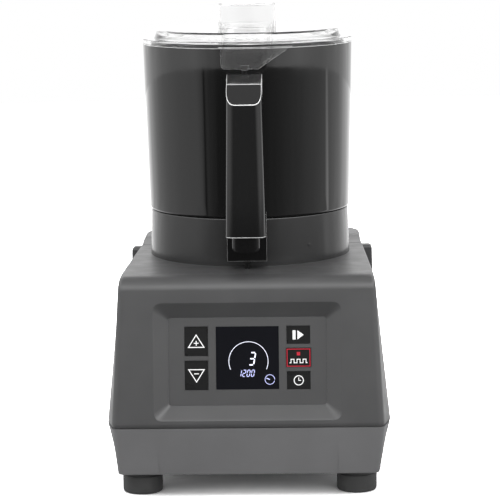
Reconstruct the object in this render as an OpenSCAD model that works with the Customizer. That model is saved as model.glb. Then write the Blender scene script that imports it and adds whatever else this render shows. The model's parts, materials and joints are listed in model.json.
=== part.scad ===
// Vertical cutter mixer: a motor housing on four feet, a locking collar, a bowl with
// a handle, a knife hub on the drive shaft, a clear lid with a filler cap, and a keypad.
// Millimetres, +Z up, front towards -Y, origin under the middle of the footprint.

/* [Body] */
// Width of the body where it is widest, along the seam
body_w = 286; // [280:1:300]
// Depth of the body from front to back
body_d = 387; // [383:1:400]
// Distance from the front of the body to the axis of the bowl
axis_setback = 188; // [186:1:192]
// Height of the seam between base tray and housing above the floor
seam_z = 72; // [68:1:76]
// Height of the deck above the seam
housing_h = 150; // [146:1:160]
// Draw-in of the front face at the seam, on each side
front_in = 7.8; // [6:0.1:10]
// Draw-in of the front face at the deck
front_top_in = 14.8; // [13:0.1:18]
// Draw-in behind the bevelled front corners at the deck
bevel_top_in = 15.2; // [13:0.1:18]
// Draw-in of the waist at the deck
waist_in = 21; // [18:0.5:24]
// Draw-in of the rear corners at the seam
rear_in = 5; // [3:0.5:10]
// Draw-in of the rear corners at the deck
rear_top_in = 24.5; // [20:0.5:27]
// Depth of the bevel behind the front corners
bevel_d = 33; // [30:1:36]
// How far the front face leans back between seam and deck
front_lean = 22.2; // [16:0.2:26]
// How far the rear face leans forward between seam and deck
rear_lean = 70; // [60:1:74]
// Wall thickness of the moulded housing and tray
wall = 3.5; // [3:0.1:4]
// Radius of the rounded top front edge
front_fillet = 14; // [10:1:16]
// Radius of the side edges of the deck
side_fillet = 3; // [2:0.5:4]

/* [Rear of the housing] */
// Draw-in of the rear shoulder at its top, on each side
shoulder_in = 12; // [9:0.5:15]
// Draw-in of the rear shoulder at the seam
shoulder_low_in = 9; // [8:0.5:11]
// Drop from the deck to the top of the rear shoulder
shoulder_drop = 4; // [3:1:8]
// Distance of the rear shoulder behind the bowl axis
shoulder_setback = 57; // [52:1:62]
// Depth of the rear shoulder from front to back
shoulder_deep = 16; // [14:1:20]
// Height of the raised rear block above the deck
ear_h = 6.5; // [4:0.5:7]
// Draw-in of the raised rear block at its foot, on each side
ear_in = 24.5; // [22:0.5:27]
// Distance of the raised rear block behind the bowl axis
ear_setback = 47; // [46:1:52]
// Radius of the edges of the raised rear block
ear_fillet = 5; // [3:0.5:6]
// Width of one rear air slot
vent_w = 90; // [60:1:110]
// Height of one rear air slot
vent_h = 3; // [2:0.5:4]
// Distance between rear air slots
vent_pitch = 8; // [7:1:9]

/* [Base tray and feet] */
// Draw-in of the tray's front face at the bottom, on each side
tray_front_in = 12; // [11:0.5:14]
// Draw-in of the tray's sides at the bottom
tray_in = 13; // [11:0.5:15]
// Height of the tray's underside above the floor
foot_h = 24; // [22:0.5:27]
// Diameter of a foot
foot_d = 40.4; // [36:0.2:44]
// Height of the wide lower part of a foot
foot_pad_h = 17.5; // [15:0.5:19]
// Diameter of the neck of a foot
foot_neck_d = 37; // [30:1:38]
// Distance of a foot's middle from the side of the tray
foot_side_in = 21.5; // [20:0.5:25]
// Distance of the front feet behind the front of the body
foot_front_in = 38; // [33:1:43]
// Distance of the rear feet before the rear of the body
foot_rear_in = 39; // [34:1:44]

/* [Control panel] */
// Distance of the panel's middle above the seam, along the leaning face
panel_up = 66.5; // [64:0.5:70]
// Width of the recess at the face
recess_w = 187; // [180:1:195]
// Height of the recess at the face
recess_h = 117; // [112:1:120]
// Depth of the recess
recess_deep = 8; // [6:0.5:10]
// Width of the sloping border of the recess
recess_bevel = 14.6; // [12:0.2:16]
// Thickness of the keypad panel
panel_t = 2; // [1.6:0.1:2.5]
// Width and height of the display window
display_w = 62.8; // [58:0.2:64]
// Width of a key
key_w = 23; // [20:0.5:24]
// Distance from the middle of the panel to each column of keys
key_column = 51; // [49:0.5:54]
// Height of a speed key
speed_key_h = 29; // [26:0.5:29.5]
// Height of the start key and of the timer key
small_key_h = 17.6; // [15:0.2:18]
// Width of the stop key
stop_key_w = 24.8; // [22:0.2:25.4]
// Height of the stop key
stop_key_h = 18.8; // [16:0.2:19]
// Height of the middle of the keys above the middle of the panel
keys_up = 3.3; // [2:0.1:4]
// Travel of a key
key_travel = 0.5; // [0.3:0.1:0.6]

/* [Collar and drive] */
// Outer diameter of the collar at its foot
collar_d = 211; // [208:1:213]
// Draw-in of the collar at its top, on each side
collar_taper = 1.5; // [0.5:0.5:3]
// Height of the collar
collar_h = 48.7; // [46:0.1:52]
// Wall thickness of the collar
collar_wall = 6; // [5:0.5:7]
// Thickness of the collar's floor flange
collar_floor = 5; // [4:0.5:6]
// Diameter of the drive shaft
shaft_d = 16; // [14:1:18]
// Outer diameter of the motor
motor_d = 132; // [124:1:136]
// Length of the motor case
motor_h = 96; // [86:1:100]
// Diameter of the cooling fan
fan_d = 104; // [90:1:116]

/* [Bowl] */
// How far the bowl stands out over the foot of the collar
bowl_out = 0.1; // [0:0.1:1]
// Widening of the bowl from its foot to its rim, on each side
bowl_flare = 4.1; // [3:0.1:5]
// Height of the bowl above the collar
bowl_h = 172.6; // [165:0.2:180]
// Wall thickness of the bowl
bowl_wall = 2.5; // [2:0.1:3]
// Height of the spigot that drops into the collar
spigot_h = 33; // [30:1:34]
// Height of the chimney round the shaft above the bowl's floor
chimney_h = 76; // [65:1:80]

/* [Handle] */
// Distance of the front of the grip from the side of the bowl
grip_out = 64.4; // [60:0.2:70]
// Thickness of the grip, front to back
grip_t = 22; // [20:1:24]
// Width of the grip at its top
grip_top_w = 34.8; // [33:0.2:36]
// Width of the grip at its bottom
grip_bottom_w = 40; // [38:0.5:42]
// Height of the grip's bottom above the floor
grip_bottom_z = 260.4; // [256:0.2:264]
// Height of the top of the handle above the floor, at the bowl
handle_top_z = 419.6; // [417:0.2:422]
// Width of the tongue below the grip
tongue_w = 28; // [24:1:30]
// Length of the tongue below the grip
tongue_h = 15; // [12:0.5:17]
// Width of the mounting rail on the bowl
rail_w = 35.6; // [33:0.2:37]
// Distance of the front of the rail's duct from the side of the bowl
rail_out = 20.4; // [19:0.2:22]
// Diameter of the safety rod
rod_d = 5; // [4:0.5:5.5]
// Distance of the safety rod from the side of the bowl
rod_out = 13.4; // [13:0.1:13.9]

/* [Lid and cap] */
// How far the lid's flange stands out over the rim of the bowl
lid_out = 0.3; // [0:0.1:1]
// Height of the lid's flange
lid_flange_h = 6; // [5:0.5:7]
// Width of the flange round the raised middle of the lid
lid_flange_w = 12.5; // [10:0.5:16]
// Height of the lid's middle above its flange
lid_dome_h = 9; // [6:0.5:11]
// Wall thickness of the lid
lid_wall = 2.5; // [2:0.1:3]
// Diameter of the filler cap
cap_d = 60; // [56:1:64]
// Height of the filler cap
cap_h = 26; // [22:1:30]
// Drop of the lid's lock tab below the lid
tab_drop = 26; // [25:0.5:27]

/* [Knives] */
// Gap between the tips of the upper knife and the bowl
knife_room = 4.1; // [3:0.1:8]
// Thickness of a knife
knife_t = 2.4; // [2:0.1:3]
// Width of a knife at its root
knife_w = 34; // [28:1:38]
// Diameter of the knife hub
hub_d = 48; // [44:1:52]

/* [Hidden] */

// Facets of round shapes and steps of the bent corners
$fn = 96;
corner_steps = 6;
// Overrun of cuts
over = 1;
// Gap between pieces that move past each other, and between fixed pieces that are seated
move_gap = 0.3;
seat_gap = 0.1;
// Radial clearance of a shaft or rod in its hole, and of a screw in a drilled hole
run_gap = 0.05;
drill_gap = 0.2;

// Widths of the body at the seam, at the deck and at the bottom
front_w = body_w - 2 * front_in;
front_top_w = body_w - 2 * front_top_in;
bevel_top_w = body_w - 2 * bevel_top_in;
waist_w = body_w - 2 * waist_in;
rear_w = body_w - 2 * rear_in;
rear_top_w = body_w - 2 * rear_top_in;
shoulder_w = body_w - 2 * shoulder_in;
shoulder_low_w = body_w - 2 * shoulder_low_in;
ear_w = body_w - 2 * ear_in;
tray_front_w = body_w - 2 * tray_front_in;
tray_w = body_w - 2 * tray_in;

// Round pieces, from the collar upwards
collar_top_d = collar_d - 2 * collar_taper;
bowl_d = collar_d + 2 * bowl_out;
bowl_rim_d = bowl_d + 2 * bowl_flare;
lid_d = bowl_rim_d + 2 * lid_out;
lid_dome_d = lid_d - 2 * lid_flange_w;
grip_reach = bowl_d / 2 + grip_out;
rail_reach = bowl_d / 2 + rail_out;
rod_reach = bowl_d / 2 + rod_out;

// Main places, seen from the bowl axis
axis_y = axis_setback - body_d / 2;
front_y = -axis_setback;
rear_y = body_d - axis_setback;
deck_z = seam_z + housing_h;
lean_angle = atan(front_lean / housing_h);
waist_y = 30;
shoulder_z = deck_z - shoulder_drop;
ear_top_z = deck_z + ear_h;

// Bends of the plan outline: front corners, bevels, waist and rear corners
edge_bend = 6;
bevel_bend = 12;
waist_bend = 30;
rear_bend = 26;
ear_front_bend = 3;
ear_rear_bend = 20;
// Undercut of the housing above the seam
groove_deep = 2;
groove_h = 5;
// Shallow trough across the deck
trough_front = 11.6;
trough_w = 34;
trough_deep = 1.2;
trough_r = (trough_w * trough_w / 4 + trough_deep * trough_deep) / (2 * trough_deep);
// Collar clearance in the raised rear block
ear_gap = 1;

// Colours
housing_colour = [0.36, 0.36, 0.37];
tray_colour = [0.43, 0.43, 0.44];
rubber_colour = [0.4, 0.4, 0.41];
black_colour = [0.1, 0.1, 0.11];
bowl_colour = [0.16, 0.16, 0.17];
clear_colour = [0.85, 0.9, 0.92, 0.4];
steel_colour = [0.72, 0.73, 0.75];
board_colour = [0.1, 0.35, 0.2];

function mix(a, b, t) = a + (b - a) * t;

// Points of a corner p that bends from the side of a to the side of b, starting r away
function bend(a, p, b, r) =
  let(u = (a - p) / norm(a - p), v = (b - p) / norm(b - p))
  [for (i = [0 : corner_steps])
    let(t = i / corner_steps)
    p + u * r * (1 - t) * (1 - t) + v * r * t * t];

// Outline with bent corners, and the same outline lifted to a height
function outline(pts, bends) =
  let(n = len(pts))
  [for (i = [0 : n - 1])
    each bend(pts[(i + n - 1) % n], pts[i], pts[(i + 1) % n], bends[i])];
function lifted(pts, z) = [for (p = pts) [p.x, p.y, z]];

// Rectangle of a half width and two depths with bent corners at a height
function box_ring(half, y0, y1, bend_f, bend_r, z) =
  lifted(outline([[-half, y0], [half, y0], [half, y1], [-half, y1]],
                 [bend_f, bend_f, bend_r, bend_r]), z);

// Strips across a ring of n points that is alike left and right, from its front to its rear
function strips(n) =
  let(s = corner_steps + 1)
  [for (i = [s : n / 2 + s - 2])
    [i, i + 1, (2 * s - 2 - i + n) % n, (2 * s - 1 - i + n) % n]];

// Solid through rings of equally many points, from the lowest to the highest. A ring with
// a hollow side is closed by strips, since one face doesn't suit it
module loft(rings, hollow_side = false) {
  n = len(rings[0]);
  m = len(rings);
  caps = hollow_side ? strips(n) : [[for (i = [0 : n - 1]) i]];
  polyhedron(
    points = [for (r = rings) each r],
    faces = concat(
      caps,
      [for (c = caps) [for (i = [len(c) - 1 : -1 : 0]) (m - 1) * n + c[i]]],
      [for (k = [0 : m - 2]) for (i = [0 : n - 1]) let(j = (i + 1) % n)
        each [[k * n + i, (k + 1) * n + i, (k + 1) * n + j],
              [k * n + i, (k + 1) * n + j, k * n + j]]]));
}

// Everything is drawn round the bowl axis and then set back to its place
module place() { translate([0, axis_y, 0]) children(); }

module tube(r_out, r_in, h) {
  difference() {
    cylinder(r = r_out, h = h);
    translate([0, 0, -over]) cylinder(r = r_in, h = h + 2 * over);
  }
}

// Plan of the housing at a height, drawn in by an inset and by cuts at front and sides
function housing_ring(z, inset, front_cut, side_cut) =
  let(t = (z - seam_z) / housing_h,
      draw = inset + side_cut,
      fw = mix(front_w, front_top_w, t) / 2 - draw,
      bw = mix(body_w, bevel_top_w, t) / 2 - draw,
      ww = mix(body_w, waist_w, t) / 2 - draw,
      rw = mix(rear_w, rear_top_w, t) / 2 - draw,
      face_y = front_y + front_lean * t,
      fy = face_y + inset + front_cut,
      by = face_y + bevel_d,
      ry = rear_y - rear_lean * t - draw)
  lifted(outline([[-fw, fy], [fw, fy], [bw, by], [ww, waist_y],
                  [rw, ry], [-rw, ry], [-ww, waist_y], [-bw, by]],
                 [edge_bend, edge_bend, bevel_bend, waist_bend,
                  rear_bend, rear_bend, waist_bend, bevel_bend]), z);

// Rings of a round-over of radius r whose top is at z, as a list of [height, draw in]
fillet_angles = [0 : 15 : 90];
function round_over(z, r) = [for (a = fillet_angles) [z - r * (1 - sin(a)), r * (1 - cos(a))]];

module housing_body() {
  loft(concat(
    [for (a = [90 : -30 : 0])
      housing_ring(seam_z + groove_h * (1 - sin(a)), 0,
                   groove_deep * (1 - cos(a)), groove_deep * (1 - cos(a)))],
    [for (t_share = [0.25, 0.5, 0.75])
      housing_ring(mix(seam_z + groove_h, deck_z - front_fillet, t_share), 0, 0, 0)],
    [for (p = round_over(deck_z, front_fillet))
      housing_ring(p[0], 0, p[1], p[1] * side_fillet / front_fillet)]),
    hollow_side = true);
}

module housing_cavity() {
  top = deck_z - wall;
  inner_fillet = front_fillet - wall;
  loft([housing_ring(seam_z - over, wall, groove_deep, 0),
        housing_ring(seam_z + groove_h, wall, groove_deep, 0),
        housing_ring(top - inner_fillet, wall, 0, 0),
        housing_ring(top, wall, inner_fillet, 0)],
       hollow_side = true);
}

// Rear shoulders, which stand out at the sides behind the waist
shoulder_edge = 4;
function shoulder_ring(z, inset, cut) =
  let(t = (z - seam_z) / housing_h,
      half = mix(shoulder_low_w, shoulder_w, t) / 2 - inset - cut)
  box_ring(half, shoulder_setback + inset + cut, shoulder_setback + shoulder_deep - inset - cut,
           shoulder_edge / 2, shoulder_edge / 2, z);

module shoulder_body() {
  loft(concat(
    [shoulder_ring(seam_z + groove_h, 0, 0)],
    [for (p = round_over(shoulder_z, shoulder_edge)) shoulder_ring(p[0], 0, p[1])]));
}

module shoulder_cavity() {
  loft([shoulder_ring(seam_z - over, wall + groove_deep, 0),
        shoulder_ring(shoulder_z - wall, wall, 0)]);
}

// Raised block behind the collar, with a round hollow that clears the collar
ear_rear_y = rear_y - rear_lean - ear_fillet;
module ear_body() {
  difference() {
    loft(concat(
      [box_ring(ear_w / 2, ear_setback, ear_rear_y, ear_front_bend, ear_rear_bend,
                shoulder_z - wall)],
      [for (p = round_over(ear_top_z, ear_fillet))
        box_ring(ear_w / 2 - p[1], ear_setback + p[1], ear_rear_y - p[1],
                 ear_front_bend, ear_rear_bend, p[0])]));
    translate([0, 0, deck_z])
      cylinder(r = collar_d / 2 + ear_gap, h = ear_h + over);
  }
}

// Places on the leaning front face: X across, Y up the face, Z out of it
module on_face() {
  translate([0, front_y, seam_z])
    rotate([90 - lean_angle, 0, 0])
      translate([0, panel_up, 0]) children();
}

recess_bend = 9;
inner_bend = 3;
recess_lip = 1;
panel_w = recess_w - 2 * recess_bevel;
panel_h = recess_h - 2 * recess_bevel;
ledge_w = 6;
tub_floor = 2.5;
function recess_ring(grow, share, z) =
  let(w = mix(panel_w, recess_w, share) / 2 + grow, h = mix(panel_h, recess_h, share) / 2 + grow)
  box_ring(w, -h, h, mix(inner_bend, recess_bend, share), mix(inner_bend, recess_bend, share), z);

module recess_cut() {
  lip_share = 1 - recess_lip / recess_deep;
  loft([recess_ring(0, 0, -recess_deep),
        recess_ring(0, lip_share, -recess_lip),
        recess_ring(0, 1, -recess_lip / 3),
        recess_ring(recess_lip / 2, 1, 0),
        recess_ring(recess_lip / 2, 1, front_fillet)]);
  loft([recess_ring(seat_gap, 0, -recess_deep - panel_t),
        recess_ring(seat_gap, 0, -recess_deep + seat_gap)]);
  translate([0, 0, -recess_deep - panel_t - tub_floor - over])
    linear_extrude(height = tub_floor + 2 * over)
      square([panel_w - 2 * ledge_w, panel_h - 2 * ledge_w], center = true);
}

module recess_tub() {
  loft([recess_ring(wall, 0, -recess_deep - panel_t - tub_floor),
        recess_ring(wall, 0, -recess_deep),
        recess_ring(wall, 1, -wall / 2)]);
}

// Screw bosses that join housing and tray, as places beside the bowl axis
boss_in = 20;
boss_r = 7;
boss_h = 26;
boss_rib_t = 4;
boss_front_in = 60;
boss_rear_in = 61;
boss_front_y = front_y + boss_front_in;
boss_rear_y = rear_y - boss_rear_in;
boss_front_x = body_w / 2 - boss_in;
boss_rear_x = mix(body_w, rear_w, (boss_rear_y - waist_y) / (rear_y - waist_y)) / 2 - boss_in;
boss_spots = [[-boss_front_x, boss_front_y], [boss_front_x, boss_front_y],
              [-boss_rear_x, boss_rear_y], [boss_rear_x, boss_rear_y]];
house_screw_r = 2;
house_screw_head_r = 4;
house_screw_head_h = 3;
house_screw_l = 56;

module housing_bosses() {
  intersection() {
    housing_body();
    for (p = boss_spots) {
      translate([p.x, p.y, seam_z]) cylinder(r = boss_r, h = boss_h);
      translate([p.x > 0 ? p.x : p.x - body_w, p.y - boss_rib_t / 2, seam_z])
        cube([body_w, boss_rib_t, boss_h]);
    }
  }
}

vent_count = 7;
vent_low = 40;
module rear_vents() {
  for (i = [0 : vent_count - 1])
    translate([-vent_w / 2, rear_y - rear_lean, seam_z + vent_low + i * vent_pitch])
      cube([vent_w, rear_lean + over, vent_h]);
}

// Motor shield boss that rises through the deck, and the bolts round it
shield_boss_r = 24;
deck_hole_gap = 1.5;
deck_hole_r = shield_boss_r + deck_hole_gap;
bolt_r = 3;
bolt_head_r = 5;
bolt_head_h = 4;
bolt_circle_r = 46;
bolt_spots = [for (a = [45 : 90 : 315]) [bolt_circle_r * cos(a), bolt_circle_r * sin(a)]];

module upper_housing() place() color(housing_colour) {
  difference() {
    union() {
      difference() {
        union() {
          housing_body();
          shoulder_body();
          ear_body();
        }
        housing_cavity();
        shoulder_cavity();
      }
      on_face() recess_tub();
      housing_bosses();
    }
    on_face() recess_cut();
    translate([0, trough_front + trough_w / 2, deck_z - trough_deep + trough_r])
      rotate([0, 90, 0])
        cylinder(r = trough_r, h = body_w, center = true, $fn = 2 * $fn);
    rear_vents();
    translate([0, 0, deck_z - wall - over])
      cylinder(r = deck_hole_r, h = wall + 2 * over);
    for (p = bolt_spots)
      translate([p.x, p.y, deck_z - wall - over])
        cylinder(r = bolt_r + drill_gap, h = wall + 2 * over);
    translate([0, -rod_reach, deck_z - wall - over])
      cylinder(r = plunger_r + run_gap, h = wall + 2 * over);
    for (p = boss_spots)
      translate([p.x, p.y, seam_z - over])
        cylinder(r = house_screw_r + run_gap, h = boss_h - wall + over);
  }
}

// Tray outline between its bottom and the seam
tray_lean = 3;
tray_edge = 2;
function tray_ring(z, inset, cut) =
  let(t = (z - foot_h) / (seam_z - foot_h),
      draw = inset + cut,
      fw = mix(tray_front_w, front_w, t) / 2 - draw,
      bw = mix(tray_w, body_w, t) / 2 - draw,
      rw = mix(tray_w, rear_w, t) / 2 - draw,
      fy = front_y + tray_lean * (1 - t) + draw,
      by = front_y + bevel_d,
      ry = rear_y - tray_lean * (1 - t) - draw)
  lifted(outline([[-fw, fy], [fw, fy], [bw, by], [bw, waist_y],
                  [rw, ry], [-rw, ry], [-bw, waist_y], [-bw, by]],
                 [edge_bend, edge_bend, bevel_bend, waist_bend,
                  rear_bend, rear_bend, waist_bend, bevel_bend]), z);

// Set-back middle of the tray's front, between the two foot blocks
block_x = 90;
block_step = 1;
block_step_h = 32;

// Pocket in the tray's rear wall that holds the cable gland
gland_x = 78;
gland_z = (seam_z + foot_h) / 2;
gland_r = 8;
gland_nut_r = 11;
gland_nut_h = 8;
gland_hex_r = 12;
gland_hex_h = 3;
gland_thread_l = 12;
gland_bore_r = 4.5;
locknut_r = 11;
locknut_t = 4;
pocket_w = 36;
pocket_h = 26;
pocket_deep = 14;
pocket_floor_y = rear_y - tray_lean - pocket_deep;
pocket_wall = 4;

foot_x = tray_w / 2 - foot_side_in;
foot_front_y = front_y + foot_front_in;
foot_rear_y = rear_y - foot_rear_in;
foot_spots = [[-foot_x, foot_front_y], [foot_x, foot_front_y],
              [-foot_x, foot_rear_y], [foot_x, foot_rear_y]];
foot_screw_r = 3;
foot_boss_r = 9;
foot_boss_h = 18;
foot_head_r = 6;
foot_head_h = 4;
foot_recess_h = 8;

slot_count = 9;
slot_w = 4;
slot_l = 70;
slot_pitch = 11;

module base_tray() place() color(tray_colour) {
  difference() {
    union() {
      difference() {
        loft([tray_ring(foot_h, 0, tray_edge),
              tray_ring(foot_h + tray_edge / 3, 0, tray_edge / 3),
              tray_ring(foot_h + tray_edge, 0, 0),
              tray_ring(seam_z, 0, 0)]);
        loft([tray_ring(foot_h + wall, wall, tray_edge),
              tray_ring(seam_z + over, wall, 0)]);
      }
      for (p = foot_spots)
        translate([p.x, p.y, foot_h + wall / 2])
          cylinder(r = foot_boss_r, h = foot_boss_h);
      for (p = boss_spots)
        translate([p.x, p.y, foot_h + wall / 2])
          cylinder(r = boss_r, h = seam_z - foot_h - wall / 2);
      translate([gland_x - pocket_w / 2 - pocket_wall, pocket_floor_y - pocket_wall,
                 foot_h + wall / 2])
        cube([pocket_w + 2 * pocket_wall, pocket_deep + pocket_wall,
              gland_z + pocket_h / 2 + pocket_wall - foot_h - wall / 2]);
    }
    translate([gland_x - pocket_w / 2, pocket_floor_y, gland_z - pocket_h / 2])
      cube([pocket_w, pocket_deep + tray_lean + over, pocket_h]);
    translate([gland_x, pocket_floor_y + over, gland_z])
      rotate([90, 0, 0])
        cylinder(r = gland_r + drill_gap, h = pocket_wall + 2 * over);
    translate([0, front_y, foot_h])
      rotate([0, -90, 0])
        linear_extrude(height = 2 * block_x, center = true)
          polygon([[-over, -over], [block_step_h, -over], [block_step_h, tray_lean - 2 * block_step],
                   [0, tray_lean + block_step], [-over, tray_lean + block_step]]);
    for (p = foot_spots)
      translate([p.x, p.y, foot_h - over])
        cylinder(r = foot_screw_r + run_gap, h = foot_boss_h);
    for (p = boss_spots) {
      translate([p.x, p.y, foot_h - over])
        cylinder(r = house_screw_r + drill_gap, h = seam_z - foot_h + 2 * over);
      translate([p.x, p.y, foot_h - over])
        cylinder(r = house_screw_head_r + drill_gap, h = house_screw_head_h + wall + over);
    }
    for (i = [0 : slot_count - 1])
      translate([(i - (slot_count - 1) / 2) * slot_pitch - slot_w / 2, -slot_l / 2, foot_h - over])
        cube([slot_w, slot_l, wall + 2 * over]);
  }
}

foot_edge = 2.5;
module foot(i) place() color(rubber_colour) {
  translate([foot_spots[i].x, foot_spots[i].y, 0])
    rotate_extrude()
      polygon(concat(
        [[foot_screw_r + drill_gap, foot_recess_h], [foot_head_r + drill_gap, foot_recess_h],
         [foot_head_r + drill_gap, 0]],
        [for (a = [0 : 15 : 90])
          [foot_d / 2 - foot_edge * (1 - sin(a)), foot_edge * (1 - cos(a))]],
        [[foot_d / 2, foot_pad_h], [foot_neck_d / 2, foot_pad_h], [foot_neck_d / 2, foot_h],
         [foot_screw_r + drill_gap, foot_h]]));
}

module foot_front_left() foot(0);
module foot_front_right() foot(1);
module foot_rear_left() foot(2);
module foot_rear_right() foot(3);

// Screw with a round head below and its shank upwards
module screw_up(r, l, head_r, head_h) {
  cylinder(r = head_r, h = head_h);
  cylinder(r = r, h = head_h + l);
}

module foot_screws() place() color(steel_colour)
  for (p = foot_spots)
    translate([p.x, p.y, foot_recess_h - foot_head_h])
      screw_up(foot_screw_r, foot_h + foot_boss_h - foot_recess_h - wall,
               foot_head_r, foot_head_h);

module housing_screws() place() color(steel_colour)
  for (p = boss_spots)
    translate([p.x, p.y, foot_h + wall])
      screw_up(house_screw_r, house_screw_l, house_screw_head_r, house_screw_head_h);

// Control panel, drawn from the front of the keypad panel
module on_panel() { on_face() translate([0, 0, -recess_deep]) children(); }
module block(w, h, z0, z1) {
  translate([0, 0, z0]) linear_extrude(height = z1 - z0) square([w, h], center = true);
}

board_z = -9;
board_t = 1.6;
board_w = 144;
board_h = 74;
post_x = 68;
post_y = 33;
post_r = 3;
post_screw_r = 1.2;
post_screw_head_r = 2.6;
post_screw_head_h = 1.6;
post_screw_l = 6;
post_spots = [for (x = [-post_x, post_x]) for (y = [-post_y, post_y]) [x, y]];
key_proud = 0.4;
key_edge = 0.9;
key_flange_t = 0.8;
key_stem_r = 2;
switch_w = 6;
switch_top = -5.2;
key_split = 5;
block_h = 2 * speed_key_h + key_split;
speed_y = (speed_key_h + key_split) / 2;
small_y = (block_h - small_key_h) / 2;
// Each key as [x, y, width, height]
key_sizes = [
  [-key_column, keys_up + speed_y, key_w, speed_key_h],
  [-key_column, keys_up - speed_y, key_w, speed_key_h],
  [key_column, keys_up + small_y, key_w, small_key_h],
  [key_column, keys_up, stop_key_w, stop_key_h],
  [key_column, keys_up - small_y, key_w, small_key_h]
];

module keypad_panel() place() color(housing_colour) on_panel() {
  difference() {
    union() {
      loft([recess_ring(0, 0, -panel_t), recess_ring(0, 0, 0)]);
      for (p = post_spots)
        translate([p.x, p.y, board_z]) cylinder(r = post_r, h = -board_z - panel_t / 2);
    }
    for (k = key_sizes)
      translate([k[0], k[1], 0])
        block(k[2] + 2 * move_gap, k[3] + 2 * move_gap, -panel_t - over, over);
    translate([0, keys_up, 0])
      block(display_w + 2 * seat_gap, display_w + 2 * seat_gap, -panel_t - over, over);
    for (p = post_spots)
      translate([p.x, p.y, board_z - over])
        cylinder(r = post_screw_r + run_gap, h = post_screw_l + over);
  }
}

module display_window() place() color([0.06, 0.06, 0.09]) on_panel()
  translate([0, keys_up, 0]) block(display_w, display_w, -panel_t, 0);

module display_module() place() color([0.12, 0.12, 0.2]) on_panel()
  translate([0, keys_up, 0])
    block(display_w - panel_t, display_w - panel_t, board_z, -panel_t - seat_gap);

module control_board() place() color(board_colour) on_panel()
  difference() {
    block(board_w, board_h, board_z - board_t, board_z);
    for (p = post_spots)
      translate([p.x, p.y, board_z - board_t - over])
        cylinder(r = post_screw_r + drill_gap, h = board_t + 2 * over);
  }

module key_switches() place() color(black_colour) on_panel()
  for (k = key_sizes)
    translate([k[0], k[1], 0]) block(switch_w, switch_w, board_z, switch_top);

module board_screws() place() color(steel_colour) on_panel()
  for (p = post_spots)
    translate([p.x, p.y, board_z - board_t - post_screw_head_h])
      screw_up(post_screw_r, post_screw_l, post_screw_head_r, post_screw_head_h);

// Key: a tile through the panel, a flange behind it and a stem to its switch
module key(i) {
  k = key_sizes[i];
  flange_top = -panel_t - move_gap;
  place() color(black_colour) on_panel() translate([k[0], k[1], 0]) {
    block(k[2], k[3], flange_top - key_flange_t, key_proud);
    block(k[2] + 2 * key_edge, k[3] + 2 * key_edge, flange_top - key_flange_t, flange_top);
    translate([0, 0, switch_top + key_travel + move_gap])
      cylinder(r = key_stem_r,
               h = flange_top - switch_top - key_travel - move_gap - key_flange_t / 2);
  }
}

module key_speed_up() key(0);
module key_speed_down() key(1);
module key_start() key(2);
module key_stop() key(3);
module key_timer() key(4);

// Collar: a tapered wall, a floor flange bolted on the deck, and hooks for the bowl's lugs
collar_top_z = deck_z + collar_h;
collar_edge = 1.5;
hook_angle = 16;
hook_deep = 5;
hook_h = 5;
hook_up = 28;
hook_z = deck_z + hook_up;
hook_starts = [30, 150, 270];
mark_angle = -53;
mark_up = 18;
mark_z = deck_z + mark_up;
mark_r = 1.5;
mark_proud = 0.6;

// Part of a ring between two radii, over an angle from a start
module arc_block(r_in, r_out, start, angle, h) {
  rotate([0, 0, start])
    rotate_extrude(angle = angle)
      translate([r_in, 0]) square([r_out - r_in, h]);
}

module collar_ring() place() color(housing_colour) {
  r = collar_d / 2;
  rt = collar_top_d / 2;
  difference() {
    translate([0, 0, deck_z])
      rotate_extrude()
        polygon(concat(
          [[deck_hole_r, 0], [r, 0]],
          [for (a = [0 : 15 : 90])
            [rt - collar_edge * (1 - cos(a)), collar_h - collar_edge * (1 - sin(a))]],
          [[rt - collar_wall, collar_h], [rt - collar_wall, collar_floor],
           [deck_hole_r, collar_floor]]));
    for (p = bolt_spots)
      translate([p.x, p.y, deck_z - over])
        cylinder(r = bolt_r + drill_gap, h = collar_floor + 2 * over);
  }
  for (a = hook_starts)
    translate([0, 0, hook_z])
      arc_block(rt - collar_wall - hook_deep, rt - collar_wall / 2, a, hook_angle, hook_h);
  rotate([0, 0, mark_angle])
    translate([r - collar_wall / 2, 0, mark_z])
      rotate([0, 90, 0])
        cylinder(r = mark_r, h = collar_wall / 2 + mark_proud);
}

module collar_bolts() place() color(steel_colour)
  for (p = bolt_spots)
    translate([p.x, p.y, deck_z + collar_floor + bolt_head_h])
      rotate([180, 0, 0])
        screw_up(bolt_r, collar_floor + wall + shield_flange - over, bolt_head_r, bolt_head_h);

// Motor, hung under the deck
shaft_r = shaft_d / 2;
shaft_room = 1;
bearing_r = 20;
bearing_h = 12;
shield_flange = 12;
shield_boss_h = 12;
shield_top_z = deck_z - wall;
shield_low_z = shield_top_z - shield_flange;
motor_r = motor_d / 2;
case_t = 4;
case_low_z = shield_low_z - motor_h;
seal_r = 14;
seal_h = 6;
seal_z = deck_z + shield_boss_h - seal_h;
bearing_drop = 4;
upper_bearing_z = shield_low_z - bearing_drop;
lower_shield_h = 14;
lower_bearing_z = case_low_z - lower_shield_h;

module motor_upper_shield() place() color([0.6, 0.6, 0.62]) {
  difference() {
    union() {
      translate([0, 0, shield_low_z]) cylinder(r = motor_r, h = shield_flange);
      translate([0, 0, upper_bearing_z])
        cylinder(r = shield_boss_r, h = deck_z + shield_boss_h - upper_bearing_z);
    }
    translate([0, 0, upper_bearing_z - over])
      cylinder(r = bearing_r + seat_gap / 2, h = bearing_h + over);
    translate([0, 0, upper_bearing_z])
      cylinder(r = shaft_r + shaft_room, h = 2 * shield_boss_h + shield_flange + wall);
    translate([0, 0, seal_z]) cylinder(r = seal_r + run_gap, h = seal_h + over);
    for (p = bolt_spots)
      translate([p.x, p.y, shield_low_z - over])
        cylinder(r = bolt_r + drill_gap, h = shield_flange + 2 * over);
  }
}

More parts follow.
